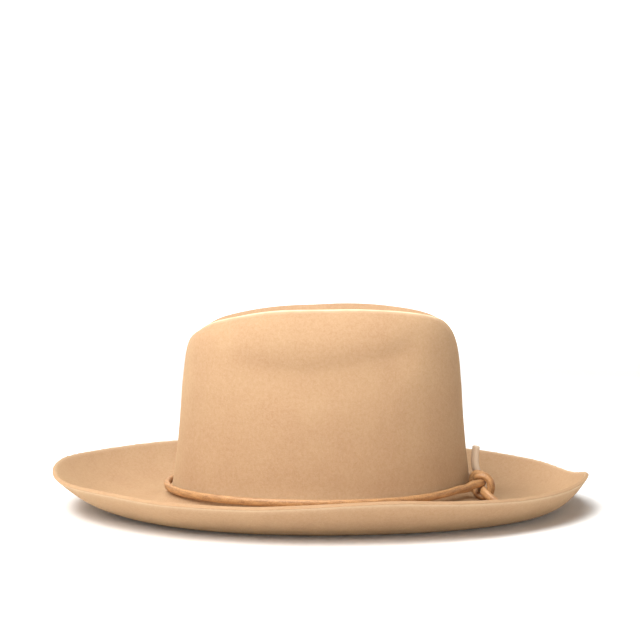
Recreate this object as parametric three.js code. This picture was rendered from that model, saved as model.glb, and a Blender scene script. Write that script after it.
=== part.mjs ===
// A western hat of camel wool felt with a leather lace tied round its crown.
// Millimetres. +Z is up, +Y is the back of the hat, +X is the wearer's left side.
// The origin is on the table, under the middle of the brim.
import * as THREE from 'three';
import { ParametricGeometry } from 'three/addons/geometries/ParametricGeometry.js';
import { mergeVertices } from 'three/addons/utils/BufferGeometryUtils.js';

// Felt
const feltThickness = 2.6;
const stations = 60;

// Crown, measured on the outside of the felt. Its widest place lies a little ahead of its middle.
const crownLength = 208.4;
const crownWidth = 171;
const crownShift = 0.6;
const crownFullness = 0.008;
const crownHeight = 128;
const crownFlare = 2.2;
const crownFlareHeight = 4;

// Ridges: how far the top of the crown stands in from its base
const ridgeInsetFront = 19.4;
const ridgeInsetBack = 16.5;
const ridgeInsetSide = 39.5;
const ridgeFullness = 0.129;

// Crease along the middle of the top, and the dents on both sides
const creaseDepth = 27;
const creaseHalfLength = 54;
const creaseShift = 4;
const dentDepth = 3.6;
const dentHeight = 97;
const dentHalfHeight = 14;
const dentFront = 70;
const dentBack = 74;
const dentLift = 15;
const dentFade = 0.5;
const dentBend = 0.2;
const dentTail = 1.5;

// Brim, measured out from the base of the crown
const brimFront = 81.8;
const brimBack = 80.6;
const brimSide = 72.5;
const brimDrop = 9.7;
const brimFall = 2.6;
const curlHeight = 29.4;
const restWidth = 6;

// Leather lace: its section, and the room that it keeps to the felt
const laceHeight = 5;
const laceThickness = 4;
const laceGap = 0.5;
const laceSeat = 0.6;
const laceSides = 8;
const ringSteps = 60;
const knotSteps = 2;

// Where round the crown the knot is tied, and how far it stands off the felt
const knotTurn = THREE.MathUtils.degToRad(73);
const knotStandOff = 11.6;
const knotRise = 3.2;
const knotPull = 0.9;
const nearReach = THREE.MathUtils.degToRad(16);
const farReach = THREE.MathUtils.degToRad(17);
const smallTurn = 0.01;

// Corners nearer than this are one corner
const sameCorner = 1e-3;

// Height of the top of the crown, as a share of crownHeight, from front middle to back middle.
const ridgeRise = [
  { turn: -90, share: 0.872 },
  { turn: -67.5, share: 0.88 },
  { turn: -45, share: 0.941 },
  { turn: -22.5, share: 0.987 },
  { turn: 0, share: 0.999 },
  { turn: 22.5, share: 1 },
  { turn: 45, share: 0.97 },
  { turn: 67.5, share: 0.91 },
  { turn: 90, share: 0.826 },
];

// Section of the crown's wall: share of its height, and share of the ridge's inset
// that the wall has taken up there at its ends and at its sides.
const wallSection = [
  { climb: 0, ends: 0, sides: 0 },
  { climb: 0.06, ends: 0.01, sides: 0.05 },
  { climb: 0.14, ends: 0.058, sides: 0.09 },
  { climb: 0.29, ends: 0.171, sides: 0.17 },
  { climb: 0.5, ends: 0.272, sides: 0.27 },
  { climb: 0.65, ends: 0.33, sides: 0.35 },
  { climb: 0.76, ends: 0.4, sides: 0.43 },
  { climb: 0.86, ends: 0.477, sides: 0.53 },
  { climb: 0.92, ends: 0.563, sides: 0.64 },
  { climb: 0.97, ends: 0.74, sides: 0.8 },
  { climb: 1, ends: 1, sides: 1 },
];

// Section of the top, from the ridge in to the bottom of the crease.
const creaseSection = [
  { across: 0, drop: 0 },
  { across: 0.12, drop: 0.05 },
  { across: 0.3, drop: 0.25 },
  { across: 0.5, drop: 0.53 },
  { across: 0.7, drop: 0.79 },
  { across: 0.88, drop: 0.96 },
  { across: 1, drop: 1 },
];

// Depth of the crease's bottom line under the ridges, as a share of creaseDepth.
const creaseFloor = [
  { along: -1, share: 0.87 },
  { along: -0.6, share: 0.97 },
  { along: 0, share: 1 },
  { along: 0.6, share: 0.97 },
  { along: 1, share: 0.87 },
];

// Height of the cut edge of the brim over the table, as a share of curlHeight.
const rimRise = [
  { turn: 0, share: 0.899 },
  { turn: 15, share: 0.936 },
  { turn: 30, share: 0.86 },
  { turn: 45, share: 0.782 },
  { turn: 60, share: 0.774 },
  { turn: 75, share: 0.725 },
  { turn: 90, share: 0.665 },
  { turn: 120, share: 0.681 },
  { turn: 150, share: 0.792 },
  { turn: 180, share: 0.896 },
  { turn: 210, share: 0.968 },
  { turn: 240, share: 0.97 },
  { turn: 270, share: 1 },
  { turn: 285, share: 0.905 },
  { turn: 300, share: 0.873 },
  { turn: 315, share: 0.849 },
  { turn: 330, share: 0.814 },
  { turn: 345, share: 0.82 },
  { turn: 360, share: 0.899 },
];

// Where the brim touches the table, as a share of its width, and how sharply it curls beyond.
const brimRest = { front: 0.345, side: 0.36, back: 0.572 };
const brimCurl = { front: 1.96, side: 1.74, back: 2.25 };

// Rings of the felt from the crease to the cut edge, each with its share of its own stretch.
const rings = [
  { stretch: 'top', shares: [1, 0.88, 0.74, 0.6, 0.46, 0.33, 0.2, 0.09] },
  { stretch: 'wall', shares: [1, 0.985, 0.96, 0.92, 0.87, 0.81, 0.75, 0.69, 0.6, 0.48, 0.34, 0.2, 0.1, 0.045, 0.015] },
  { stretch: 'inner', shares: [0, 0.2, 0.45, 0.72, 1] },
  { stretch: 'outer', shares: [0, 0.2, 0.4, 0.56, 0.7, 0.82, 0.92, 1] },
];

// The knot's route, chosen by hand, in its own frame: along the lace towards the left side,
// out from the crown, and up. The near strand bends round the far strand's two legs, and the
// far strand bends round the near strand's two legs.
const nearRoute = [
  [8.8, 15.4, -11.6],
  [8.2, 10.6, -8.4],
  [6.6, 5.8, -5.4],
  [3.4, 1.8, -3],
  [0, 0.4, -2.2],
  [-3.4, 0, -4.2],
  [-6.2, -2.4, -6.4],
  [-7.2, -6.4, -5.3],
  [-7.2, -8.6, -2.2],
  [-7.2, -8.8, 2.2],
  [-7, -6.8, 6.8],
  [-6.2, -2.6, 7.4],
  [-3.4, 0, 4.8],
  [0, -0.3, 2.4],
  [4, -1.8, 2.2],
  [8, -4.8, 1.8],
  [13, -7.4, 0.2],
];
const farRoute = [
  [-15.4, -9, -2.2],
  [-11.4, -5.6, -2.2],
  [-6.8, -4.2, -1.4],
  [-2.8, -4.8, -3.8],
  [-0.4, -3.2, -6.4],
  [0.2, 1.2, -7.2],
  [0.3, 5, -4.8],
  [0.3, 6.2, 0],
  [0.3, 5, 4.6],
  [0.2, 1.4, 7.2],
  [-0.4, -3, 6.9],
  [-2.8, -4.8, 4.6],
  [-6.8, -4.4, 2.9],
  [-11, -5, 4],
  [-13.2, -7, 7],
  [-13.9, -8.4, 12.4],
  [-14, -8.6, 19],
  [-13.9, -7.8, 27],
];

const felt = new THREE.MeshStandardMaterial({ color: 0xc9a477, roughness: 0.95, metalness: 0 });
const leather = new THREE.MeshStandardMaterial({ color: 0xb9783f, roughness: 0.6, metalness: 0 });

const crownHalfWidth = crownWidth / 2;
const crownFront = crownLength / 2 - crownShift;
const crownBack = crownLength / 2 + crownShift;
const baseHeight = feltThickness + brimDrop;
const laceLevel = baseHeight + laceHeight / 2 + laceSeat;

// A smooth curve through one column of a table: a cubic between rows, whose slope at a row is
// that of the parabola through it and its neighbours, and level at ends that are named flat.
function curveOf(rows, at, of, ends) {
  const last = rows.length - 1;
  const secant = (i) => (rows[i + 1][of] - rows[i][of]) / (rows[i + 1][at] - rows[i][at]);
  const span = (i) => rows[i + 1][at] - rows[i][at];
  const between = (i, k) => (secant(i) * span(k) + secant(k) * span(i)) / (span(i) + span(k));
  const slopes = rows.map((row, i) => {
    if (i > 0 && i < last) return between(i - 1, i);
    if (ends === 'flat') return 0;
    if (ends === 'closed') return between(last - 1, 0);
    return secant(i === 0 ? 0 : last - 1);
  });
  return (value) => {
    let i = 0;
    while (i < last - 1 && value > rows[i + 1][at]) i += 1;
    const width = span(i);
    const t = (value - rows[i][at]) / width;
    const rise = rows[i + 1][of] - rows[i][of];
    const easeIn = t * t * (3 - 2 * t);
    const lean = slopes[i] * t * (1 - t) * (1 - t) - slopes[i + 1] * t * t * (1 - t);
    return rows[i][of] + rise * easeIn + lean * width;
  };
}

const ridgeShare = curveOf(ridgeRise, 'turn', 'share', 'flat');
const wallEnds = curveOf(wallSection, 'climb', 'ends', 'free');
const wallSides = curveOf(wallSection, 'climb', 'sides', 'free');
const creaseDrop = curveOf(creaseSection, 'across', 'drop', 'flat');
const floorShare = curveOf(creaseFloor, 'along', 'share', 'flat');
const rimShare = curveOf(rimRise, 'turn', 'share', 'closed');

// A round oval in plan, with its own front and back half and a fullness between its axes.
function oval(turn, halfWidth, front, back, fullness) {
  const swell = 1 + fullness * Math.sin(2 * turn) ** 2;
  const length = Math.sin(turn) > 0 ? back : front;
  return new THREE.Vector2(halfWidth * Math.cos(turn), length * Math.sin(turn)).multiplyScalar(swell);
}

// A value that is told for the front, the sides and the back, eased between them.
function around(turn, told) {
  const end = Math.sin(turn) > 0 ? told.back : told.front;
  return told.side + (end - told.side) * Math.sin(turn) ** 2;
}

function baseOutline(turn) {
  return oval(turn, crownHalfWidth, crownFront, crownBack, crownFullness);
}

function ridgeOutline(turn) {
  const halfGap = crownHalfWidth - ridgeInsetSide;
  return oval(turn, halfGap, crownFront - ridgeInsetFront, crownBack - ridgeInsetBack, ridgeFullness);
}

function ridgeHeight(turn) {
  const fromSide = THREE.MathUtils.radToDeg(Math.asin(Math.sin(turn)));
  return baseHeight + crownHeight * ridgeShare(fromSide);
}

// How far the side dent pushes the wall in, at a place along the hat and a height over the base. It
// fades at both ends, climbs behind dentBend of its back half, and its lower slope is dentTail as long.
function dentAt(y, height) {
  const ease = THREE.MathUtils.smoothstep;
  const along = ease(y + dentFront, 0, dentFront * dentFade) * ease(dentBack - y, 0, dentBack * dentFade);
  const centre = dentHeight + dentLift * ease(y, dentBack * dentBend, dentBack) ** 2;
  const reach = dentHalfHeight * (height > centre ? 1 : dentTail);
  return dentDepth * along * Math.exp(-(((height - centre) / reach) ** 2));
}

// The crown's wall: the base outline drawn in towards the ridge outline as it climbs, flared
// out just over the brim and dented at the sides.
function wallPoint(turn, climb) {
  const base = baseOutline(turn);
  const sideways = Math.cos(turn) ** 2;
  const drawnIn = wallSides(climb) * sideways + wallEnds(climb) * (1 - sideways);
  const height = (ridgeHeight(turn) - baseHeight) * climb;
  const flare = crownFlare * Math.exp(-height / crownFlareHeight);
  const plan = base.clone().lerp(ridgeOutline(turn), drawnIn);
  plan.addScaledVector(base.normalize(), flare);
  plan.x -= dentAt(plan.y, height) * Math.sign(plan.x) * sideways;
  return new THREE.Vector3(plan.x, plan.y, baseHeight + height);
}

// The top: from the ridge inwards and down to the crease's bottom line, where both sides meet.
function topPoint(turn, across) {
  const along = Math.sin(turn);
  const bottom = new THREE.Vector3(0, creaseShift + creaseHalfLength * along, 0);
  bottom.z = baseHeight + crownHeight - creaseDepth * floorShare(along);
  const ridge = ridgeOutline(turn);
  const point = new THREE.Vector3(ridge.x, ridge.y, 0).lerp(bottom, across);
  point.z = THREE.MathUtils.lerp(ridgeHeight(turn), bottom.z, creaseDrop(across));
  return point;
}

// The brim: it falls from the crown to a level strip on the table, then curls up to its cut edge.
function brimPoint(turn, stretch, share) {
  const rest = around(turn, brimRest);
  const halfStrip = restWidth / 2 / brimSide;
  const start = rest - halfStrip;
  const end = rest + halfStrip;
  const inner = stretch === 'inner';
  const width = inner ? start * share : end + (1 - end) * share;
  const base = baseOutline(turn).addScaledVector(baseOutline(turn).normalize(), crownFlare);
  const rim = oval(turn, crownHalfWidth + brimSide, crownFront + brimFront, crownBack + brimBack, 0);
  const plan = base.lerp(rim, width);
  const rimHeight = curlHeight * rimShare(THREE.MathUtils.radToDeg(turn));
  const fall = brimDrop * (1 - share) ** brimFall;
  const curl = (rimHeight - feltThickness) * share ** around(turn, brimCurl);
  return new THREE.Vector3(plan.x, plan.y, feltThickness + (inner ? fall : curl));
}

function feltPoint(turn, ring) {
  if (ring.stretch === 'top') return topPoint(turn, ring.share);
  if (ring.stretch === 'wall') return wallPoint(turn, ring.share);
  return brimPoint(turn, ring.stretch, ring.share);
}

// A closed body from a surface whose first and last rows close on themselves: equal corners
// become one, and triangles that have lost their area go.
function closedBody(surface, columns, rows) {
  const grid = new ParametricGeometry(surface, columns, rows);
  grid.deleteAttribute('uv');
  grid.deleteAttribute('normal');
  const body = mergeVertices(grid, sameCorner);
  const corners = body.getIndex().array;
  const kept = [];
  for (let i = 0; i < corners.length; i += 3) {
    const [a, b, c] = corners.subarray(i, i + 3);
    if (a !== b && b !== c && c !== a) kept.push(a, b, c);
  }
  body.setIndex(kept);
  body.computeVertexNormals();
  return body;
}

// The felt: its outside from the crease to the cut edge, then its inside back to the crease,
// one thickness away at right angles to it. The strip that rests on the table stays level.
function feltGeometry() {
  const list = rings.flatMap(({ stretch, shares }) => shares.map((share) => ({ stretch, share })));
  const last = list.length - 1;
  const atRest = (ring) => (ring.stretch === 'inner' && ring.share === 1)
    || (ring.stretch === 'outer' && ring.share === 0);
  const step = (2 * Math.PI) / stations;
  const outside = (column, row) => feltPoint(step * ((column + stations) % stations), list[row]);
  const direction = (from, to) => to.clone().sub(from).normalize();
  const inside = (column, row) => {
    const point = outside(column, row);
    if (atRest(list[row])) return point.setZ(point.z - feltThickness);
    const opposite = stations / 2 - column;
    const before = row > 0 ? outside(column, row - 1) : outside(opposite, 1);
    const after = row < last ? outside(column, row + 1) : point;
    const outward = direction(before, point).add(direction(point, after));
    const sideways = direction(outside(column - 1, row), outside(column + 1, row));
    const out = outward.cross(sideways).normalize();
    if (row === 0) out.set(0, out.y, Math.abs(out.z)).normalize();
    return point.addScaledVector(out, -feltThickness);
  };
  return closedBody((u, v, target) => {
    const column = (stations - Math.round(u * stations)) % stations;
    const row = Math.round(v * (2 * last + 1));
    target.copy(row <= last ? outside(column, row) : inside(column, 2 * last + 1 - row));
  }, stations, 2 * last + 1);
}

// A point of the knot's own frame, set at its place on the back of the crown.
function knotPoint([along, out, up]) {
  const base = baseOutline(knotTurn);
  const ahead = baseOutline(knotTurn - smallTurn).sub(base).normalize();
  const away = new THREE.Vector2(-ahead.y, ahead.x);
  const plan = base.addScaledVector(ahead, along).addScaledVector(away, knotStandOff + out);
  return new THREE.Vector3(plan.x, plan.y, laceLevel + knotRise + up);
}

// The lace's middle line round the crown, beside the felt as it stands at that height.
function laceRingPoint(turn) {
  const height = laceLevel - laceHeight / 2 - baseHeight;
  const beside = laceThickness / 2 + laceGap + crownFlare * Math.exp(-height / crownFlareHeight);
  const base = baseOutline(turn);
  const plan = base.addScaledVector(base.clone().normalize(), beside);
  return new THREE.Vector3(plan.x, plan.y, laceLevel);
}

// The whole route: the near tail and strand, once round by the front, the far strand and its
// tail. Each span of the knot has more steps than a span of the ring.
function laceRoute() {
  const first = knotTurn - nearReach;
  const last = knotTurn + farReach - 2 * Math.PI;
  const ring = [];
  for (let i = 0; i <= ringSteps; i += 1) ring.push(laceRingPoint(first + ((last - first) * i) / ringSteps));
  const near = nearRoute.map(knotPoint);
  const marks = [...near, ...ring, ...farRoute.map(knotPoint)];
  const inRing = (i) => i >= near.length && i < near.length + ring.length - 1;
  return { curve: new THREE.CatmullRomCurve3(marks, false, 'centripetal'), spans: marks.length - 1, inRing };
}

// The lace as a rounded strip along its route. Its height stands upright round the crown, it is
// carried without twist through the knot, and the knot draws it thinner.
function laceGeometry() {
  const { curve, spans, inRing } = laceRoute();
  const stops = [];
  for (let span = 0; span < spans; span += 1) {
    const steps = inRing(span) ? 1 : knotSteps;
    for (let i = 0; i < steps; i += 1) stops.push({ at: (span + i / steps) / spans, inRing: inRing(span) });
  }
  stops.push({ at: 1, inRing: false });
  const points = stops.map(({ at }) => curve.getPoint(at));
  const tangents = stops.map(({ at }) => curve.getTangent(at));
  const sizes = stops.map((stop) => (stop.inRing ? 1 : knotPull));
  const last = stops.length - 1;
  const carry = (up, tangent) => up.clone().addScaledVector(tangent, -up.dot(tangent)).normalize();
  const middle = Math.round(last / 2);
  const ups = [];
  ups[middle] = carry(new THREE.Vector3(0, 0, 1), tangents[middle]);
  for (let i = middle + 1; i <= last; i += 1) ups[i] = carry(ups[i - 1], tangents[i]);
  for (let i = middle - 1; i >= 0; i -= 1) ups[i] = carry(ups[i + 1], tangents[i]);
  return closedBody((u, v, target) => {
    const row = Math.round(v * (last + 2));
    const at = Math.min(Math.max(row - 1, 0), last);
    target.copy(points[at]);
    if (row === 0 || row === last + 2) return;
    const turn = 2 * Math.PI * u;
    const side = tangents[at].clone().cross(ups[at]);
    target.addScaledVector(ups[at], sizes[at] * (laceHeight / 2) * Math.cos(turn));
    target.addScaledVector(side, sizes[at] * (laceThickness / 2) * Math.sin(turn));
  }, laceSides, last + 2);
}

function piece(name, geometry, material) {
  const mesh = new THREE.Mesh(geometry, material);
  mesh.name = name;
  return mesh;
}

const hat = new THREE.Group();
hat.add(piece('felt_body', feltGeometry(), felt));
hat.add(piece('hat_lace', laceGeometry(), leather));

export default hat;
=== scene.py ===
import math

import bmesh
import bpy
import numpy as np
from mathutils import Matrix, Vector


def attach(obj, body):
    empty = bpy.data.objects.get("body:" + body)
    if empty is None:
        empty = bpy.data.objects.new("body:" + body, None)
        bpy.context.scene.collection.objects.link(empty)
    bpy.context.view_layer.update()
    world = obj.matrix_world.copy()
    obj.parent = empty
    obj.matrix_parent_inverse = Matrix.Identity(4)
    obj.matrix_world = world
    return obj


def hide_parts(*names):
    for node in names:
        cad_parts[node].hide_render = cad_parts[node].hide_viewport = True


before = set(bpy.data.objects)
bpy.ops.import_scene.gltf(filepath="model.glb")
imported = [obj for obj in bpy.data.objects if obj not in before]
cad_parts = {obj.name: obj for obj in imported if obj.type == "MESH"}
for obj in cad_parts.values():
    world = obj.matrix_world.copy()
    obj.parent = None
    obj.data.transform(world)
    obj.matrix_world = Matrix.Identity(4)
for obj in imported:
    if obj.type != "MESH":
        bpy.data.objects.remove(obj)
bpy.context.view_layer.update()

bl_info = {
    "name": "Felt Western Hat",
    "version": (1, 0, 0),
    "blender": (4, 5, 0),
    "location": "View3D > Sidebar > Felt Hat",
    "description": "A camel wool felt hat with a creased crown, a curled brim and a leather lace",
    "category": "Object",
}

# The hat stands on the table at z = 0. +Y is its back and +X the wearer's left side.
MM = 0.001

# Height of the top of the crown, as a share of its height: degrees from front to back, share.
RIDGE_RISE = (
    (-90, 0.872),
    (-67.5, 0.88),
    (-45, 0.941),
    (-22.5, 0.987),
    (0, 0.999),
    (22.5, 1),
    (45, 0.97),
    (67.5, 0.91),
    (90, 0.826),
)

# Section of the crown's wall: share of its height, and the share of the ridge's inset that the
# wall has taken up there at its ends and at its sides.
WALL_CLIMB = (0, 0.06, 0.14, 0.29, 0.5, 0.65, 0.76, 0.86, 0.92, 0.97, 1)
WALL_ENDS = (0, 0.01, 0.058, 0.171, 0.272, 0.33, 0.4, 0.477, 0.563, 0.74, 1)
WALL_SIDES = (0, 0.05, 0.09, 0.17, 0.27, 0.35, 0.43, 0.53, 0.64, 0.8, 1)

# Section of the top, from the ridge in to the bottom of the crease: across, share of the drop.
CREASE_SECTION = (
    (0, 0),
    (0.12, 0.14),
    (0.3, 0.36),
    (0.5, 0.6),
    (0.7, 0.82),
    (0.88, 0.96),
    (1, 1),
)

# Depth of the crease's bottom line: place along it from front to back, share of the depth.
CREASE_FLOOR = ((-1, 0.87), (-0.6, 0.97), (0, 1), (0.6, 0.97), (1, 0.87))

# Height of the cut edge of the brim, as a share of the curl's height: degrees round, share.
RIM_RISE = (
    (0, 0.899),
    (15, 0.936),
    (30, 0.86),
    (45, 0.782),
    (60, 0.795),
    (72, 0.84),
    (82, 0.85),
    (90, 0.76),
    (100, 0.62),
    (120, 0.681),
    (150, 0.792),
    (180, 0.896),
    (210, 0.968),
    (240, 0.97),
    (270, 1),
    (285, 0.905),
    (300, 0.873),
    (315, 0.849),
    (330, 0.814),
    (345, 0.82),
    (360, 0.899),
)

# Where the brim touches the table as a share of its width, and how sharply it curls beyond:
# at the front, at the sides and at the back.
BRIM_REST = (0.345, 0.36, 0.572)
BRIM_CURL = (1.96, 1.74, 2.25)

# How full the ovals are between their axes, and the power by which the brim falls to the table.
CROWN_FULLNESS = 0.008
RIDGE_FULLNESS = 0.129
BRIM_FALL = 2.6

# A side dent's lower reach over its upper one, and the share of its length over which it fades.
DENT_LOWER_REACH = 2.2
DENT_FADE_FRONT = 1 / 2
DENT_FADE_BACK = 1 / 3

# Cut edge of the felt: power of its rounded section, bulge as a share of the thickness, fraying.
EDGE_SQUARENESS = 0.45
EDGE_BULGE = 1 / 4
EDGE_FRAY = 0.25

# The knot's route in millimetres, in its own frame: along the lace, out from the crown, up.
NEAR_STRAND = (
    (8.8, 15.4, -11.6),
    (8.2, 10.6, -8.4),
    (6.6, 5.8, -5.4),
    (3.4, 1.8, -3),
    (0, 0.4, -2.2),
    (-3.4, 0, -4.2),
    (-6.2, -2.4, -6.4),
    (-7.2, -6.4, -5.3),
    (-7.2, -8.6, -2.2),
    (-7.2, -8.8, 2.2),
    (-7, -6.8, 6.8),
    (-6.2, -2.6, 7.4),
    (-3.4, 0, 4.8),
    (0, -0.3, 2.4),
    (4, -1.8, 2.2),
    (8, -4.8, 1.8),
    (13, -7.4, 0.2),
)
FAR_STRAND = (
    (-15.4, -9, -2.2),
    (-11.4, -5.6, -2.2),
    (-6.8, -4.2, -1.4),
    (-2.8, -4.8, -3.8),
    (-0.4, -3.2, -6.4),
    (0.2, 1.2, -7.2),
    (0.3, 5, -4.8),
    (0.3, 6.2, 0),
    (0.3, 5, 4.6),
    (0.2, 1.4, 7.2),
    (-0.4, -3, 6.9),
    (-2.8, -4.8, 4.6),
    (-6.8, -4.4, 2.9),
    (-11, -5, 4),
    (-13.2, -7, 7),
    (-12.9, -8.4, 12.4),
    (-13.1, -8.6, 18.6),
    (-13.2, -7.8, 25.4),
)

# Where the knot sits round the crown, how far its strands reach from there, over what turn the
# lace climbs to it, the step by which its direction is found, and how much the knot widens a strand.
KNOT_TURN = math.radians(73)
NEAR_REACH = math.radians(16)
FAR_REACH = math.radians(17)
CLIMB_REACH = math.radians(38)
SMALL_TURN = 0.01
KNOT_PULL = 1.12

# Stretch at both ends of the lace over which the knot's pull dies away, and the pale tail's length
# with the stretch over which it turns pale.
PULL_FADE = (75 * MM, 95 * MM)
TAIL_LENGTH = 26 * MM
TAIL_FADE = 6 * MM

# Power of the lace's rounded section, and its closed ends: size of each ring, distance out in
# millimetres.
LACE_SQUARENESS = 0.8
LACE_ENDS = ((0.94, 0.3), (0.8, 0.48), (0.5, 0.56), (0, 0.58))

# How finely each piece is cut: columns and rows of the felt, stations and sides of the lace.
FELT_COLUMNS = 320
TOP_ROWS = 40
WALL_ROWS = 74
BREAK_ROWS = 12
INNER_ROWS = 18
OUTER_ROWS = 44
INSIDE_STEP = 2
EDGE_ROWS = 7
RING_MARKS = 60
RING_STEPS = 5
KNOT_STEPS = 9
LACE_SIDES = 28
COVE_COLUMNS = 96

# The round cove in metres: radius of its flat, radius of its bend, height of its wall. Then the
# radii at which its paper begins and ends to brighten, and its glow beyond.
COVE_FLAT = 2.4
COVE_BEND = 0.9
COVE_WALL = 0.3
COVE_RADII = (0.02, 0.5, 0.9, 1.1, 1.3, 1.5, 1.7, 1.9, 2.1)
GLOW_START = 0.9
GLOW_END = 2.2
GLOW = 0.75

# The lights: name, place and size in metres, watts. They look at a point in the hat's middle.
LIGHTS = (
    ("overhead", (0.2, -0.42, 1.7), 1.7, 54),
    ("key", (0.98, -0.62, 1.12), 0.8, 20.5),
)
LIGHT_TARGET = (0, 0, 0.06)
WORLD_COLOUR = (1, 0.985, 0.96, 1)
WORLD_STRENGTH = 0.04


def linear(hex_colour):
    """The linear colour of an sRGB hex value, by the sRGB curve."""
    parts = [int(hex_colour[i:i + 2], 16) / 255 for i in (1, 3, 5)]
    return tuple(p / 12.92 if p <= 0.04045 else ((p + 0.055) / 1.055) ** 2.4 for p in parts)


def length(name, description, millimetres):
    """A length for a panel, told in millimetres and kept in metres."""
    return bpy.props.FloatProperty(
        name=name,
        description=description,
        default=millimetres * MM,
        unit="LENGTH",
        precision=5,
    )


def colour(name, description, hex_colour):
    """A colour for a panel, told as an sRGB hex value and kept linear."""
    return bpy.props.FloatVectorProperty(
        name=name,
        description=description,
        default=linear(hex_colour),
        subtype="COLOR",
        min=0,
        max=1,
    )


class FeltSettings(bpy.types.PropertyGroup):
    """Sizes and colours of the blocked felt."""

    thickness: length("Felt", "Thickness of the felt", 2.6)
    crown_front: length("Crown front", "Middle of the hat to the front of the crown", 103.6)
    crown_back: length("Crown back", "Middle of the hat to the back of the crown", 104.8)
    crown_half_width: length("Crown half width", "Middle of the hat to the side of the crown", 85.5)
    crown_height: length("Crown height", "Brim to the highest place of the ridges", 128)
    crown_flare: length("Flare", "How far the wall runs out into the brim", 2.2)
    flare_height: length("Flare height", "Height over which the flare dies away", 4)
    inset_front: length("Front inset", "How far the ridge stands in at the front", 19.4)
    inset_back: length("Back inset", "How far the ridge stands in at the back", 16.5)
    inset_side: length("Side inset", "How far the ridge stands in at the sides", 39.5)
    crease_depth: length("Crease depth", "Depth of the crease under the ridges", 27)
    crease_half_length: length("Crease half length", "Half of the crease's bottom line", 54)
    crease_shift: length("Crease shift", "How far the crease lies towards the back", 4)
    dent_depth: length("Dent depth", "How far the side dents go in", 3.2)
    dent_height: length("Dent height", "Brim to the middle of the side dents at its lowest", 85.5)
    dent_half_height: length("Dent half height", "Middle of a side dent to its upper end", 9.5)
    dent_front: length("Dent front", "Middle of the hat to a side dent's front end", 70)
    dent_back: length("Dent back", "Middle of the hat to a side dent's back end", 74)
    dent_low: length("Dent low", "Middle of the hat to a side dent's lowest place, forwards", 13)
    dent_lift: length("Dent lift", "How far a side dent climbs to its back end", 19)
    brim_front: length("Brim front", "Width of the brim at the front", 81.8)
    brim_back: length("Brim back", "Width of the brim at the back", 80.6)
    brim_side: length("Brim side", "Width of the brim at the sides", 72.5)
    brim_drop: length("Brim drop", "How far the brim falls from the crown to the table", 9.7)
    curl_height: length("Curl height", "Table to the highest place of the cut edge", 29.4)
    rest_width: length("Rest width", "Width of the strip that lies on the table", 6)
    sway: length("Sway", "How far handling has bent the felt out of true", 0.3)
    camel: colour("Camel", "Main colour of the felt", "#AB8B6C")
    toffee: colour("Toffee", "Darker fibres of the felt", "#A07E5D")
    oat: colour("Oat", "Lighter fibres", "#C4AB84")
    # Cream is the colour of the painted highlight on the ridges and on the corners of the cut edge.
    highlight_cream: colour("Cream", "Rubbed and cut edges", "#F2DFC0")


class LaceSettings(bpy.types.PropertyGroup):
    """Sizes and colours of the leather lace."""

    height: length("Height", "Height of the lace where it lies round the crown", 5)
    thickness: length("Thickness", "Thickness of the lace from the felt outwards", 4)
    gap: length("Gap", "Air between the lace and the felt", 0.5)
    seat: length("Seat", "How far the lace lies over the brim", 0.6)
    knot_stand_off: length("Knot stand-off", "Crown to the middle of the knot", 11.6)
    knot_rise: length("Knot rise", "How far the knot is over the lace round the crown", 1.8)
    ring_climb: length("Ring climb", "How far the lace climbs where it comes to the knot", 2.4)
    tan: colour("Tan", "Grain side of the leather", "#BC8D5C")
    brown: colour("Brown", "Creases and worn places of the leather", "#8E653F")
    flesh: colour("Flesh side", "Split side of the leather", "#D2BCA2")


class StageSettings(bpy.types.PropertyGroup):
    """The studio round the hat."""

    paper: colour("Paper", "Colour of the studio paper", "#F4F3F1")
    camera_distance: length("Camera distance", "Middle of the hat to the camera, along the table", 1098.7)
    camera_height: length("Camera height", "Table to the camera", 188.8)
    camera_shift: length("Camera shift", "How far the camera stands to the front", 0.35)
    focal_length: bpy.props.FloatProperty(
        name="Focal length",
        description="Lens of the camera, in millimetres",
        default=88.06,
        unit="CAMERA",
    )
    camera_pitch: bpy.props.FloatProperty(
        name="Camera pitch",
        description="How far the camera looks down",
        default=math.radians(3.057),
        unit="ROTATION",
    )


class HatSettings(bpy.types.PropertyGroup):
    """All settings of the hat and its studio."""

    felt: bpy.props.PointerProperty(type=FeltSettings)
    lace: bpy.props.PointerProperty(type=LaceSettings)
    stage: bpy.props.PointerProperty(type=StageSettings)


def curve_of(rows, ends="free"):
    """A smooth curve through a table: between two rows a cubic, whose slope at a row is that of the
    parabola through the row and its neighbours. Its ends are level, free, level at the last row
    alone, or joined up."""
    at, of = np.array(list(rows), float).T
    span = np.diff(at)
    secant = np.diff(of) / span
    slope = np.zeros_like(at)
    slope[1:-1] = (secant[:-1] * span[1:] + secant[1:] * span[:-1]) / (span[:-1] + span[1:])
    if ends in ("free", "level last"):
        slope[0] = secant[0]
    if ends == "free":
        slope[-1] = secant[-1]
    if ends == "closed":
        slope[[0, -1]] = (secant[-1] * span[0] + secant[0] * span[-1]) / (span[0] + span[-1])

    def value(x):
        i = np.clip(np.searchsorted(at, x) - 1, 0, len(span) - 1)
        t = (x - at[i]) / span[i]
        lean = slope[i] * t * (1 - t) ** 2 - slope[i + 1] * t ** 2 * (1 - t)
        return of[i] + (of[i + 1] - of[i]) * t ** 2 * (3 - 2 * t) + lean * span[i]

    return value


def smooth_step(x, low, high):
    """0 below low and 1 above high, with 3t^2 - 2t^3 between them."""
    t = np.clip((x - low) / (high - low), 0, 1)
    return t * t * (3 - 2 * t)


def mix(a, b, share):
    """a where the share is 0, b where it is 1, and straight between them."""
    return a + (b - a) * share


def unit(vectors):
    """Each vector over its length."""
    return vectors / np.linalg.norm(vectors, axis=-1, keepdims=True)


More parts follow.
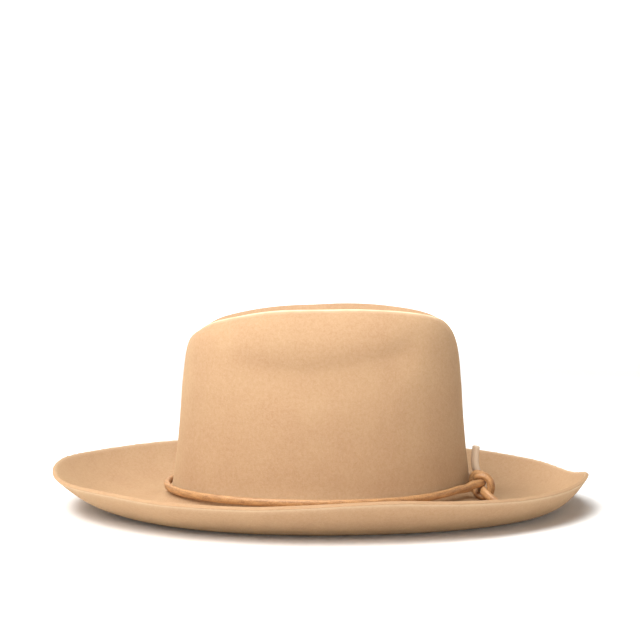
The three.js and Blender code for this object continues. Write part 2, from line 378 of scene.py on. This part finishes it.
def rounded(x, squareness):
    """A sine or cosine raised to the squareness, its sign kept: below 1 it makes a circle squarer."""
    return np.sign(x) * np.abs(x) ** squareness


def oval(turn, half_width, front, back, fullness=0.0):
    """Plan of an oval: half width times cos, and the front or back half times sin, swollen between
    its axes by the fullness times the squared sine of twice the turn."""
    swell = 1 + fullness * np.sin(2 * turn) ** 2
    half_length = np.where(np.sin(turn) > 0, back, front)
    return np.stack([half_width * np.cos(turn) * swell, half_length * np.sin(turn) * swell], axis=-1)


def around(turn, told):
    """A value told for front, side and back: from the side's to the end's by the squared sine."""
    front, side, back = told
    return mix(side, np.where(np.sin(turn) > 0, back, front), np.sin(turn) ** 2)


def base_height(felt):
    """Table to the top of the brim where it leaves the crown."""
    return felt.thickness + felt.brim_drop


def base_outline(felt, turn):
    """Plan of the crown at the brim."""
    return oval(turn, felt.crown_half_width, felt.crown_front, felt.crown_back, CROWN_FULLNESS)


def ridge_outline(felt, turn):
    """Plan of the ridges that stand round the top."""
    front = felt.crown_front - felt.inset_front
    back = felt.crown_back - felt.inset_back
    return oval(turn, felt.crown_half_width - felt.inset_side, front, back, RIDGE_FULLNESS)


def ridge_height(felt, turn):
    """Height of the ridges over the table, by the table of the ridge's rise."""
    from_side = np.degrees(np.arcsin(np.sin(turn)))
    return base_height(felt) + felt.crown_height * curve_of(RIDGE_RISE, "level")(from_side)


def dent(felt, y, height):
    """Depth of the side dent: a bell over the height, faded out at the front and at the back. Its
    middle is a parabola that climbs both ways from its lowest place."""
    fade_in = smooth_step(y + felt.dent_front, 0, felt.dent_front * DENT_FADE_FRONT)
    fade_out = smooth_step(felt.dent_back - y, 0, felt.dent_back * DENT_FADE_BACK)
    way_up = (y + felt.dent_low) / (felt.dent_back + felt.dent_low)
    centre = felt.dent_height + felt.dent_lift * way_up ** 2
    reach = felt.dent_half_height * np.where(height > centre, 1, DENT_LOWER_REACH)
    return felt.dent_depth * fade_in * fade_out * np.exp(-(((height - centre) / reach) ** 2))


def wall_surface(felt, turn, climb):
    """The crown's wall: the base outline drawn in to the ridge outline by the wall's section, flared
    out by e to the power of minus the height, and dented at the sides."""
    ends = curve_of(zip(WALL_CLIMB, WALL_ENDS))(climb)
    sides = curve_of(zip(WALL_CLIMB, WALL_SIDES))(climb)
    sideways = np.cos(turn) ** 2
    drawn_in = (sides * sideways + ends * (1 - sideways))[..., None]
    height = (ridge_height(felt, turn) - base_height(felt)) * climb
    flare = felt.crown_flare * np.exp(-height / felt.flare_height)
    base = base_outline(felt, turn)
    plan = mix(base, ridge_outline(felt, turn), drawn_in) + unit(base) * flare[..., None]
    x = plan[..., 0] - dent(felt, plan[..., 1], height) * np.sign(plan[..., 0]) * sideways
    return np.stack([x, plan[..., 1], base_height(felt) + height], axis=-1)


def top_surface(felt, turn, across):
    """The top: straight in plan from the ridge to the crease's bottom line, and down by the crease's
    section."""
    along = np.sin(turn)
    ridge = ridge_outline(felt, turn)
    depth = felt.crease_depth * curve_of(CREASE_FLOOR, "level")(along)
    floor = base_height(felt) + felt.crown_height - depth
    x = mix(ridge[:, 0], 0, across)
    y = mix(ridge[:, 1], felt.crease_shift + felt.crease_half_length * along, across)
    z = mix(ridge_height(felt, turn), floor, curve_of(CREASE_SECTION, "level last")(across))
    return np.stack([x, y, z], axis=-1)


def brim_surface(felt, turn, share, inner):
    """The brim: it falls from the crown by a power of the way left to the strip on the table, and
    curls up beyond it by a power of the way gone to the cut edge."""
    rest = around(turn, BRIM_REST)
    half_strip = felt.rest_width / 2 / felt.brim_side
    start = rest - half_strip
    end = rest + half_strip
    width = start * share if inner else mix(end, 1, share)
    base = base_outline(felt, turn)
    base = base + unit(base) * felt.crown_flare
    rim = oval(
        turn,
        felt.crown_half_width + felt.brim_side,
        felt.crown_front + felt.brim_front,
        felt.crown_back + felt.brim_back,
    )
    plan = mix(base, rim, width[..., None])
    rim_height = felt.curl_height * curve_of(RIM_RISE, "closed")(np.degrees(turn))
    if inner:
        rise = felt.brim_drop * (1 - share) ** BRIM_FALL + 0 * turn
    else:
        rise = (rim_height - felt.thickness) * share ** around(turn, BRIM_CURL)
    return np.stack([plan[..., 0], plan[..., 1], felt.thickness + rise], axis=-1)


def shares(first, last, count):
    """A column of even steps, the last one left out."""
    return np.linspace(first, last, count, endpoint=False)[:, None]


def felt_outside(felt, turn):
    """The felt's outer surface, a row of points for each ring, from the crease to the cut edge."""
    break_climb = 1.5 * felt.flare_height / felt.crown_height
    rows = [
        top_surface(felt, turn, shares(1, 0, TOP_ROWS)),
        wall_surface(felt, turn, shares(1, break_climb, WALL_ROWS)),
        wall_surface(felt, turn, shares(break_climb, 0, BREAK_ROWS)),
        brim_surface(felt, turn, shares(0, 1, INNER_ROWS), True),
        brim_surface(felt, turn, np.linspace(0, 1, OUTER_ROWS)[:, None], False),
    ]
    return np.concatenate(rows)


def mirrored(row):
    """The same row with left and right changed over: the column at a turn takes the one at 180
    degrees less the turn."""
    count = len(row)
    return row[(count // 2 - np.arange(count)) % count]


def soften(points, passes):
    """Each row but the last becomes a quarter of both its neighbours and half of itself, some times
    over. Beyond the crease's bottom line lies the other side's first row."""
    for _ in range(passes):
        before = np.concatenate([mirrored(points[1])[None], points[:-2]])
        points[:-1] = before / 4 + points[:-1] / 2 + points[1:] / 4
    return points


def normals_of(points):
    """Unit normals of a grid that closes on itself along its rows: the cross product of the steps
    between each point's neighbours, out of the crown and up from the brim. The first row lies in
    the crease, so its normals are the mean of those on both sides of it."""
    down = np.concatenate([points[2:], points[-1:]]) - points[:-1]
    along = np.roll(points, -1, axis=1) - np.roll(points, 1, axis=1)
    normals = unit(np.cross(down, along[1:]))
    return np.concatenate([unit(normals[:1] + mirrored(normals[0])), normals])


def sway_of(points, wavelength, seed):
    """A slow wander between about -1 and 1: the sum of a few sine waves that run through space in
    seeded directions."""
    waves = 14
    draw = np.random.default_rng(seed)
    directions = unit(draw.normal(size=(waves, 3))) / (wavelength * draw.uniform(0.7, 1.6, (waves, 1)))
    phases = draw.uniform(0, 2 * math.pi, waves)
    return np.sin(2 * math.pi * points @ directions.T + phases).sum(axis=-1) / math.sqrt(waves)


def build_felt(felt):
    """Points, faces and attributes of the felt: its outside, the rounded cut edge and its inside,
    one thickness in along the normals. The first and the last row fold together on the crease."""
    turn = np.arange(FELT_COLUMNS) * 2 * math.pi / FELT_COLUMNS
    outside = soften(felt_outside(felt, turn), 2)
    normals = normals_of(outside)
    free = smooth_step(outside[..., 2], felt.thickness, felt.thickness + 8 * MM)
    wander = felt.sway * (sway_of(outside, 0.09, 5) + 0.2 * sway_of(outside, 0.035, 11))
    outside = outside + normals * (wander * free)[..., None]
    normals = normals_of(outside)

    middle = outside[-1] - normals[-1] * felt.thickness / 2
    beyond = unit(outside[-1] - outside[-2])
    angle = np.linspace(0, math.pi, EDGE_ROWS + 2)[1:-1, None, None]
    over = rounded(np.cos(angle), EDGE_SQUARENESS) * felt.thickness / 2
    bulge = rounded(np.sin(angle), EDGE_SQUARENESS) * felt.thickness * EDGE_BULGE
    fray = 1 + EDGE_FRAY * sway_of(middle, 0.006, 3)[:, None]
    edge = middle + normals[-1] * over + beyond * bulge * fray

    last = len(outside) - 1
    kept = np.arange(last, -1, -INSIDE_STEP)
    kept = np.append(kept, 0) if kept[-1] else kept
    inside = outside[kept] - normals[kept] * felt.thickness
    inside[..., 2] = np.maximum(inside[..., 2], 0)
    inside[-1, :, 0] = 0

    grid = np.concatenate([outside, edge, inside])
    row = np.arange(len(grid))[:, None] + np.zeros(len(turn))
    lower_corner = last + EDGE_ROWS + 1
    cut = np.where((row > last + 1) & (row < lower_corner - 1), 1.0, 0.0)
    # Painted highlight: a cream line along the ridge row, full on the +X side and a fifth of that on the
    # -X side, varied a little by noise, and a weaker one on both corners of the cut edge.
    highlight_strength = mix(0.2, 1, smooth_step(np.cos(turn), -0.3, 0.1)) * (0.85 + 0.15 * sway_of(grid, 0.012, 7))
    painted_highlight = np.exp(-(((row - TOP_ROWS) / 0.8) ** 2)) * np.clip(highlight_strength, 0, 1)
    for corner in (last, lower_corner):
        painted_highlight = np.maximum(painted_highlight, 0.25 * np.exp(-(((row - corner) / 0.8) ** 2)))

    rows, columns = grid.shape[:2]
    ids = np.arange(rows * columns).reshape(rows, columns)
    ids[0] = np.minimum(ids[0], mirrored(ids[0]))
    ids[-1] = np.minimum(ids[-1], mirrored(ids[-1]))
    following = np.roll(ids, -1, axis=1)
    faces = np.stack([ids[:-1], ids[1:], following[1:], following[:-1]], axis=-1).reshape(-1, 4)
    used, faces = np.unique(faces, return_inverse=True)
    marks = {"cut_edge": cut.ravel()[used], "painted_highlight": painted_highlight.ravel()[used]}
    return grid.reshape(-1, 3)[used], faces.reshape(-1, 4), marks


def make_mesh(name, points, faces, marks, uv=None):
    """A smooth mesh from whole arrays: corners, four-sided faces, values at the points and a UV map."""
    mesh = bpy.data.meshes.new(name)
    mesh.vertices.add(len(points))
    mesh.vertices.foreach_set("co", points.ravel())
    mesh.loops.add(faces.size)
    mesh.loops.foreach_set("vertex_index", faces.ravel())
    mesh.polygons.add(len(faces))
    mesh.polygons.foreach_set("loop_start", np.arange(len(faces)) * 4)
    mesh.polygons.foreach_set("use_smooth", np.ones(len(faces), bool))
    for mark, values in marks.items():
        attribute = mesh.attributes.new(mark, "FLOAT", "POINT")
        attribute.data.foreach_set("value", values.astype(np.float32))
    if uv is not None:
        mesh.uv_layers.new(name="lengthwise").data.foreach_set("uv", uv.ravel())
    mesh.update(calc_edges=True)
    if mesh.validate():
        raise RuntimeError(f"{name}: the mesh had faults")
    return mesh


def add_piece(context, name, mesh, node, material):
    """An object at the origin that stands for a CAD node and takes its slot."""
    piece = bpy.data.objects.new(name, mesh)
    context.collection.objects.link(piece)
    mesh.materials.append(material)
    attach(piece, "root")
    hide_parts(node)
    return piece


def knot_points(felt, lace, turn, route):
    """The knot's own frame set at the back of the crown: its first axis runs along the outline, its
    second away from the crown and its third up."""
    base = base_outline(felt, turn)
    ahead = unit(base_outline(felt, turn - SMALL_TURN) - base)
    away = np.array([-ahead[1], ahead[0]])
    along, out, up = np.array(route).T[..., None] * MM
    plan = base + ahead * along + away * (out + lace.knot_stand_off)
    return np.concatenate([plan, up + lace_level(felt, lace) + lace.knot_rise], axis=1)


def lace_level(felt, lace):
    """Height of the lace's middle where it lies round the crown."""
    return base_height(felt) + lace.height / 2 + lace.seat


def ring_points(felt, lace, turn):
    """The lace's middle round the crown: the base outline, moved out by half a lace, the gap and
    what the flare still stands out at the lace's foot. It climbs to the knot at both ends by the
    square of the way there."""
    flare = felt.crown_flare * math.exp(-lace.seat / felt.flare_height)
    base = base_outline(felt, turn)
    plan = base + unit(base) * (lace.thickness / 2 + lace.gap + flare)
    to_end = np.minimum(turn[0] - turn, turn - turn[-1])
    climb = lace.ring_climb * np.clip(1 - to_end / CLIMB_REACH, 0, 1) ** 2
    return np.concatenate([plan, (lace_level(felt, lace) + climb)[:, None]], axis=1)


def lace_marks(felt, lace):
    """The points that the lace follows: the near tail and strand, round by the front, and the far
    strand and its tail."""
    turns = np.linspace(KNOT_TURN - NEAR_REACH, KNOT_TURN + FAR_REACH - 2 * math.pi, RING_MARKS + 1)
    near = knot_points(felt, lace, KNOT_TURN, NEAR_STRAND)
    far = knot_points(felt, lace, KNOT_TURN, FAR_STRAND)
    return np.concatenate([near, ring_points(felt, lace, turns), far])


def spline(marks, steps):
    """A centripetal Catmull-Rom curve: between two points a cubic whose knots are spaced by the
    square root of the distances. Gives its points and its unit tangents."""
    padded = np.concatenate([2 * marks[:1] - marks[1:2], marks, 2 * marks[-1:] - marks[-2:-1]])
    gaps = np.linalg.norm(np.diff(padded, axis=0), axis=1)[:, None] ** 0.5
    p0, p1, p2, p3 = padded[:-3], padded[1:-2], padded[2:-1], padded[3:]
    d0, d1, d2 = gaps[:-2], gaps[1:-1], gaps[2:]
    start = d1 * ((p1 - p0) / d0 - (p2 - p0) / (d0 + d1) + (p2 - p1) / d1)
    finish = d1 * ((p2 - p1) / d1 - (p3 - p1) / (d1 + d2) + (p3 - p2) / d2)
    span = np.repeat(np.arange(len(steps)), steps)
    t = np.concatenate([np.arange(n) / n for n in steps])
    span = np.append(span, len(steps) - 1)
    t = np.append(t, 1.0)[:, None]
    a, b, u, v = p1[span], p2[span], start[span], finish[span]
    points = a + u * t + (3 * b - 3 * a - 2 * u - v) * t ** 2 + (2 * a - 2 * b + u + v) * t ** 3
    tangents = u + 2 * (3 * b - 3 * a - 2 * u - v) * t + 3 * (2 * a - 2 * b + u + v) * t ** 2
    return points, unit(tangents)


def carried(tangents, middle):
    """An upright direction at every station, carried from the middle to both ends without twist: at
    each step what lies along the tangent is taken off."""
    ups = np.zeros_like(tangents)
    ups[middle] = (0, 0, 1)
    order = [(i, i - 1) for i in range(middle + 1, len(tangents))]
    order += [(i, i + 1) for i in range(middle - 1, -1, -1)]
    for here, before in order:
        up = ups[before] - tangents[here] * (ups[before] @ tangents[here])
        ups[here] = up / math.sqrt(up @ up)
    return ups


def build_lace(felt, lace):
    """Points, faces, marks and UV map of the lace: a rounded strip carried along its route, with a
    UV map that runs along it in metres and once round it. Rings that shrink to a point close both
    its ends."""
    marks = lace_marks(felt, lace)
    steps = [KNOT_STEPS] * len(NEAR_STRAND)
    steps += [RING_STEPS] * RING_MARKS
    steps += [KNOT_STEPS] * (len(marks) - 1 - len(steps))
    points, tangents = spline(marks, steps)
    ups = carried(tangents, len(points) // 2)
    sides = np.cross(tangents, ups)
    walk = np.concatenate([[0], np.cumsum(np.linalg.norm(np.diff(points, axis=0), axis=1))])
    in_knot = 1 - smooth_step(walk, *PULL_FADE) * smooth_step(walk[-1] - walk, *PULL_FADE)
    pull = mix(1, KNOT_PULL, in_knot)

    angle = np.linspace(0, 2 * math.pi, LACE_SIDES, endpoint=False)[:, None]
    high = rounded(np.cos(angle), LACE_SQUARENESS) * lace.height / 2
    wide = rounded(np.sin(angle), LACE_SQUARENESS) * lace.thickness / 2
    section = ups[:, None] * high + sides[:, None] * wide
    grid = points[:, None] + section * pull[:, None, None]

    shrink, out = np.array(LACE_ENDS).T[..., None]
    ends = []
    for end, way in ((0, -1), (-1, 1)):
        middles = points[end] + tangents[end] * way * out * MM
        ends.append((middles, middles[:, None] + (grid[end] - points[end]) * shrink[:, None]))
    (first_middles, first), (last_middles, last) = ends
    grid = np.concatenate([first[::-1], grid, last])
    points = np.concatenate([first_middles[::-1], points, last_middles])
    walk = np.pad(walk, len(shrink), mode="edge")

    rows, columns = grid.shape[:2]
    ids = np.arange(rows * columns).reshape(rows, columns)
    following = np.roll(ids, -1, axis=1)
    faces = np.stack([ids[:-1], following[:-1], following[1:], ids[1:]], axis=-1).reshape(-1, 4)
    uv = np.stack(np.broadcast_arrays(walk[:, None], np.arange(columns + 1) / columns), axis=-1)
    corners = np.stack([uv[:-1, :-1], uv[:-1, 1:], uv[1:, 1:], uv[1:, :-1]], axis=2).reshape(-1, 2)
    tail = smooth_step(walk, walk[-1] - TAIL_LENGTH, walk[-1] - TAIL_LENGTH + TAIL_FADE)
    facing = unit(grid - points[:, None] + 1e-9)[..., 0]
    flesh = tail[:, None] * smooth_step(facing, -0.5, 0.1)
    return grid.reshape(-1, 3), faces, {"flesh": flesh.ravel()}, corners


def close_ends(mesh):
    """Merges the points that lie on one place, which closes both ends of a strip."""
    work = bmesh.new()
    work.from_mesh(mesh)
    bmesh.ops.remove_doubles(work, verts=work.verts, dist=0.01 * MM)
    bmesh.ops.recalc_face_normals(work, faces=work.faces)
    work.to_mesh(mesh)
    work.free()


def new_material(name):
    """A material with nothing but its output and its Principled shader."""
    material = bpy.data.materials.new(name)
    material.use_nodes = True
    tree = material.node_tree
    tree.nodes.clear()
    output = tree.nodes.new("ShaderNodeOutputMaterial")
    shader = tree.nodes.new("ShaderNodeBsdfPrincipled")
    tree.links.new(shader.outputs[0], output.inputs[0])
    return material, tree, shader


def add_node(tree, kind, inputs=None, **settings):
    """One node of a kind, with its settings, and a value or a link for each input named."""
    made = tree.nodes.new("ShaderNode" + kind)
    for name, value in settings.items():
        setattr(made, name, value)
    for name, value in (inputs or {}).items():
        if isinstance(value, bpy.types.NodeSocket):
            tree.links.new(value, made.inputs[name])
        else:
            made.inputs[name].default_value = value
    return made


def noise(tree, vector, size, detail, roughness):
    """Noise whose patches are about one size across, in metres."""
    inputs = {"Vector": vector, "Scale": 1 / size, "Detail": detail, "Roughness": roughness}
    return add_node(tree, "TexNoise", inputs).outputs[0]


def spread(tree, value, low, high, top=1):
    """A value stretched and held so that low gives 0 and high gives the top."""
    inputs = {"Value": value, "From Min": low, "From Max": high, "To Min": 0, "To Max": top}
    return add_node(tree, "MapRange", inputs).outputs[0]


def laid_over(tree, share, under, over):
    """The colour under, covered by the colour over by a share."""
    inputs = {"Factor": share, "A": under, "B": over}
    return add_node(tree, "Mix", inputs, data_type="RGBA").outputs[2]


def mark_of(tree, mark, strength=1):
    """A mark of the mesh times a strength."""
    value = add_node(tree, "Attribute", attribute_name=mark).outputs["Fac"]
    return add_node(tree, "Math", {0: value, 1: strength}, operation="MULTIPLY").outputs[0]


def add_bump(tree, shader, height, strength, distance):
    """Tilts the shader's normal by a height, at most the distance high."""
    inputs = {"Height": height, "Strength": strength, "Distance": distance}
    tree.links.new(add_node(tree, "Bump", inputs).outputs[0], shader.inputs["Normal"])


def felt_material(felt):
    """Wool felt, blocked and sanded: matt, with a short nap that catches light at its edges, mottled
    by clumps of darker and lighter fibres one or two millimetres across, darker on the cut edge, and
    with a painted highlight in cream along the ridges and on the corners of the cut edge."""
    material, tree, shader = new_material("Wool Felt")
    place = add_node(tree, "TexCoord").outputs["Object"]
    clumps = noise(tree, place, 2.2 * MM, 3, 0.6)
    fibres = noise(tree, place, 0.9 * MM, 2, 0.7)
    clouds = noise(tree, place, 28 * MM, 3, 0.55)
    grain = add_node(tree, "Mix", {"Factor": 0.5, "A": clumps, "B": fibres}).outputs[0]
    body = laid_over(tree, spread(tree, grain, 0.36, 0.64), (*felt.toffee, 1), (*felt.camel, 1))
    clouded = laid_over(tree, spread(tree, clouds, 0.35, 0.7, 0.12), body, (*felt.oat, 1))
    edged = laid_over(tree, mark_of(tree, "cut_edge", 0.45), clouded, (*felt.toffee, 1))
    # Painted highlight: cream laid over the ridges and the corners of the cut edge.
    coloured = laid_over(tree, mark_of(tree, "painted_highlight", 0.9), edged, (*felt.highlight_cream, 1))
    tree.links.new(coloured, shader.inputs["Base Color"])
    shader.inputs["Roughness"].default_value = 0.95
    shader.inputs["Specular IOR Level"].default_value = 0.2
    shader.inputs["Sheen Weight"].default_value = 0.35
    shader.inputs["Sheen Roughness"].default_value = 0.45
    shader.inputs["Sheen Tint"].default_value = (*felt.oat, 1)
    add_bump(tree, shader, grain, 0.8, 0.35 * MM)
    return material


def leather_material(lace):
    """Oil-tanned calf leather, cut as a lace: a soft gloss, fine pores, darker streaks along it, and
    the paler split side where the lace is marked as flesh."""
    material, tree, shader = new_material("Oiled Calf Leather")
    place = add_node(tree, "TexCoord").outputs["Object"]
    along = add_node(tree, "TexCoord").outputs["UV"]
    stretched = add_node(tree, "Mapping", {"Vector": along, "Scale": (1 / (9 * MM), 9, 1)})
    streaks = noise(tree, stretched.outputs[0], 1, 4, 0.6)
    pores = noise(tree, place, 0.8 * MM, 3, 0.6)
    grain = add_node(tree, "Mix", {"Factor": 0.4, "A": streaks, "B": pores}).outputs[0]
    coloured = laid_over(tree, spread(tree, grain, 0.38, 0.6), (*lace.brown, 1), (*lace.tan, 1))
    sided = laid_over(tree, mark_of(tree, "flesh"), coloured, (*lace.flesh, 1))
    tree.links.new(sided, shader.inputs["Base Color"])
    shader.inputs["Roughness"].default_value = 0.5
    shader.inputs["Specular IOR Level"].default_value = 0.5
    add_bump(tree, shader, grain, 0.5, 0.2 * MM)
    return material


def paper_material(stage):
    """Matt studio paper: even and pale, with no gloss, and bright far from the hat."""
    material, tree, shader = new_material("Studio Paper")
    place = add_node(tree, "TexCoord").outputs["Object"]
    tooth = noise(tree, place, 30 * MM, 2, 0.5)
    tree.links.new(mark_of(tree, "glow"), shader.inputs["Emission Strength"])
    shader.inputs["Emission Color"].default_value = (1, 1, 1, 1)
    shader.inputs["Base Color"].default_value = (*stage.paper, 1)
    shader.inputs["Roughness"].default_value = 0.9
    add_bump(tree, shader, tooth, 0.02, 0.1 * MM)
    return material


def build_cove():
    """A round studio cove: flat round the hat, then a quarter circle up to an upright wall."""
    quarter = np.linspace(0, math.pi / 2, 13)
    near = np.array(COVE_RADII)
    edge = COVE_FLAT + COVE_BEND
    radius = np.concatenate([near, COVE_FLAT + COVE_BEND * np.sin(quarter), [edge]])[:, None]
    height = np.concatenate([0 * near, COVE_BEND * (1 - np.cos(quarter)), [COVE_BEND + COVE_WALL]])
    turn = np.arange(COVE_COLUMNS) * 2 * math.pi / COVE_COLUMNS
    spread = np.broadcast_arrays(radius * np.cos(turn), radius * np.sin(turn), height[:, None])
    grid = np.stack(spread, axis=-1)
    ids = np.arange(grid.shape[0] * COVE_COLUMNS).reshape(-1, COVE_COLUMNS)
    following = np.roll(ids, -1, axis=1)
    faces = np.stack([ids[:-1], ids[1:], following[1:], following[:-1]], axis=-1).reshape(-1, 4)
    glow = np.repeat(GLOW * smooth_step(radius, GLOW_START, GLOW_END), COVE_COLUMNS)
    return grid.reshape(-1, 3), faces, {"glow": glow}


def add_light(context, name, place, size, watts):
    """A square soft light that looks at the hat."""
    light = bpy.data.lights.new(name, "AREA")
    light.size = size
    light.energy = watts
    holder = bpy.data.objects.new(name, light)
    context.collection.objects.link(holder)
    holder.location = place
    to_hat = Vector(LIGHT_TARGET) - Vector(place)
    holder.rotation_euler = to_hat.to_track_quat("-Z", "Y").to_euler()
    holder.visible_camera = False


class HAT_OT_felt(bpy.types.Operator):
    """Builds the blocked felt: crown, crease, brim and cut edge in one wall"""

    bl_idname = "hat.felt"
    bl_label = "Felt"

    def execute(self, context):
        hat = context.scene.hat
        points, faces, marks = build_felt(hat.felt)
        mesh = make_mesh("felt_hat_body", points, faces, marks)
        piece = add_piece(context, "felt_hat_body", mesh, "felt_body", felt_material(hat.felt))
        return {"FINISHED"}


class HAT_OT_lace(bpy.types.Operator):
    """Builds the leather lace round the crown, with its knot and its two tails"""

    bl_idname = "hat.lace"
    bl_label = "Lace"

    def execute(self, context):
        hat = context.scene.hat
        points, faces, marks, uv = build_lace(hat.felt, hat.lace)
        mesh = make_mesh("leather_lace", points, faces, marks, uv)
        close_ends(mesh)
        piece = add_piece(context, "leather_lace", mesh, "hat_lace", leather_material(hat.lace))
        return {"FINISHED"}


class HAT_OT_stage(bpy.types.Operator):
    """Sets up the paper cove, the soft lights and the camera"""

    bl_idname = "hat.stage"
    bl_label = "Studio"

    def execute(self, context):
        stage = context.scene.hat.stage
        cove = bpy.data.objects.new("studio_cove", make_mesh("studio_cove", *build_cove()))
        context.collection.objects.link(cove)
        cove.data.materials.append(paper_material(stage))
        for light in LIGHTS:
            add_light(context, *light)
        world = bpy.data.worlds.new("studio")
        world.use_nodes = True
        background = world.node_tree.nodes["Background"]
        background.inputs["Color"].default_value = WORLD_COLOUR
        background.inputs["Strength"].default_value = WORLD_STRENGTH
        context.scene.world = world
        lens = bpy.data.cameras.new("camera")
        lens.lens = stage.focal_length
        lens.clip_start = 0.05
        camera = bpy.data.objects.new("camera", lens)
        context.collection.objects.link(camera)
        camera.location = (stage.camera_distance, -stage.camera_shift, stage.camera_height)
        camera.rotation_euler = (math.pi / 2 - stage.camera_pitch, 0, math.pi / 2)
        context.scene.camera = camera
        context.scene.view_settings.view_transform = "Standard"
        return {"FINISHED"}


class HAT_PT_panel(bpy.types.Panel):
    """Lists the pieces of the hat"""

    bl_idname = "HAT_PT_panel"
    bl_label = "Felt Hat"
    bl_space_type = "VIEW_3D"
    bl_region_type = "UI"
    bl_category = "Felt Hat"

    def draw(self, context):
        for group, operator in (("stage", HAT_OT_stage), ("felt", HAT_OT_felt), ("lace", HAT_OT_lace)):
            settings = getattr(context.scene.hat, group)
            box = self.layout.box()
            for name in settings.__annotations__:
                box.prop(settings, name)
            box.operator(operator.bl_idname)


CLASSES = (
    FeltSettings,
    LaceSettings,
    StageSettings,
    HatSettings,
    HAT_OT_stage,
    HAT_OT_felt,
    HAT_OT_lace,
    HAT_PT_panel,
)


def register():
    """Registers the classes and hangs the settings on the scene."""
    for made in CLASSES:
        bpy.utils.register_class(made)
    bpy.types.Scene.hat = bpy.props.PointerProperty(type=HatSettings)


def unregister():
    """Takes the settings and the classes away again."""
    del bpy.types.Scene.hat
    for made in reversed(CLASSES):
        bpy.utils.unregister_class(made)


def main():
    """Builds the studio and the hat."""
    register()
    bpy.ops.hat.stage()
    bpy.ops.hat.felt()
    bpy.ops.hat.lace()


if __name__ == "__main__":
    main()
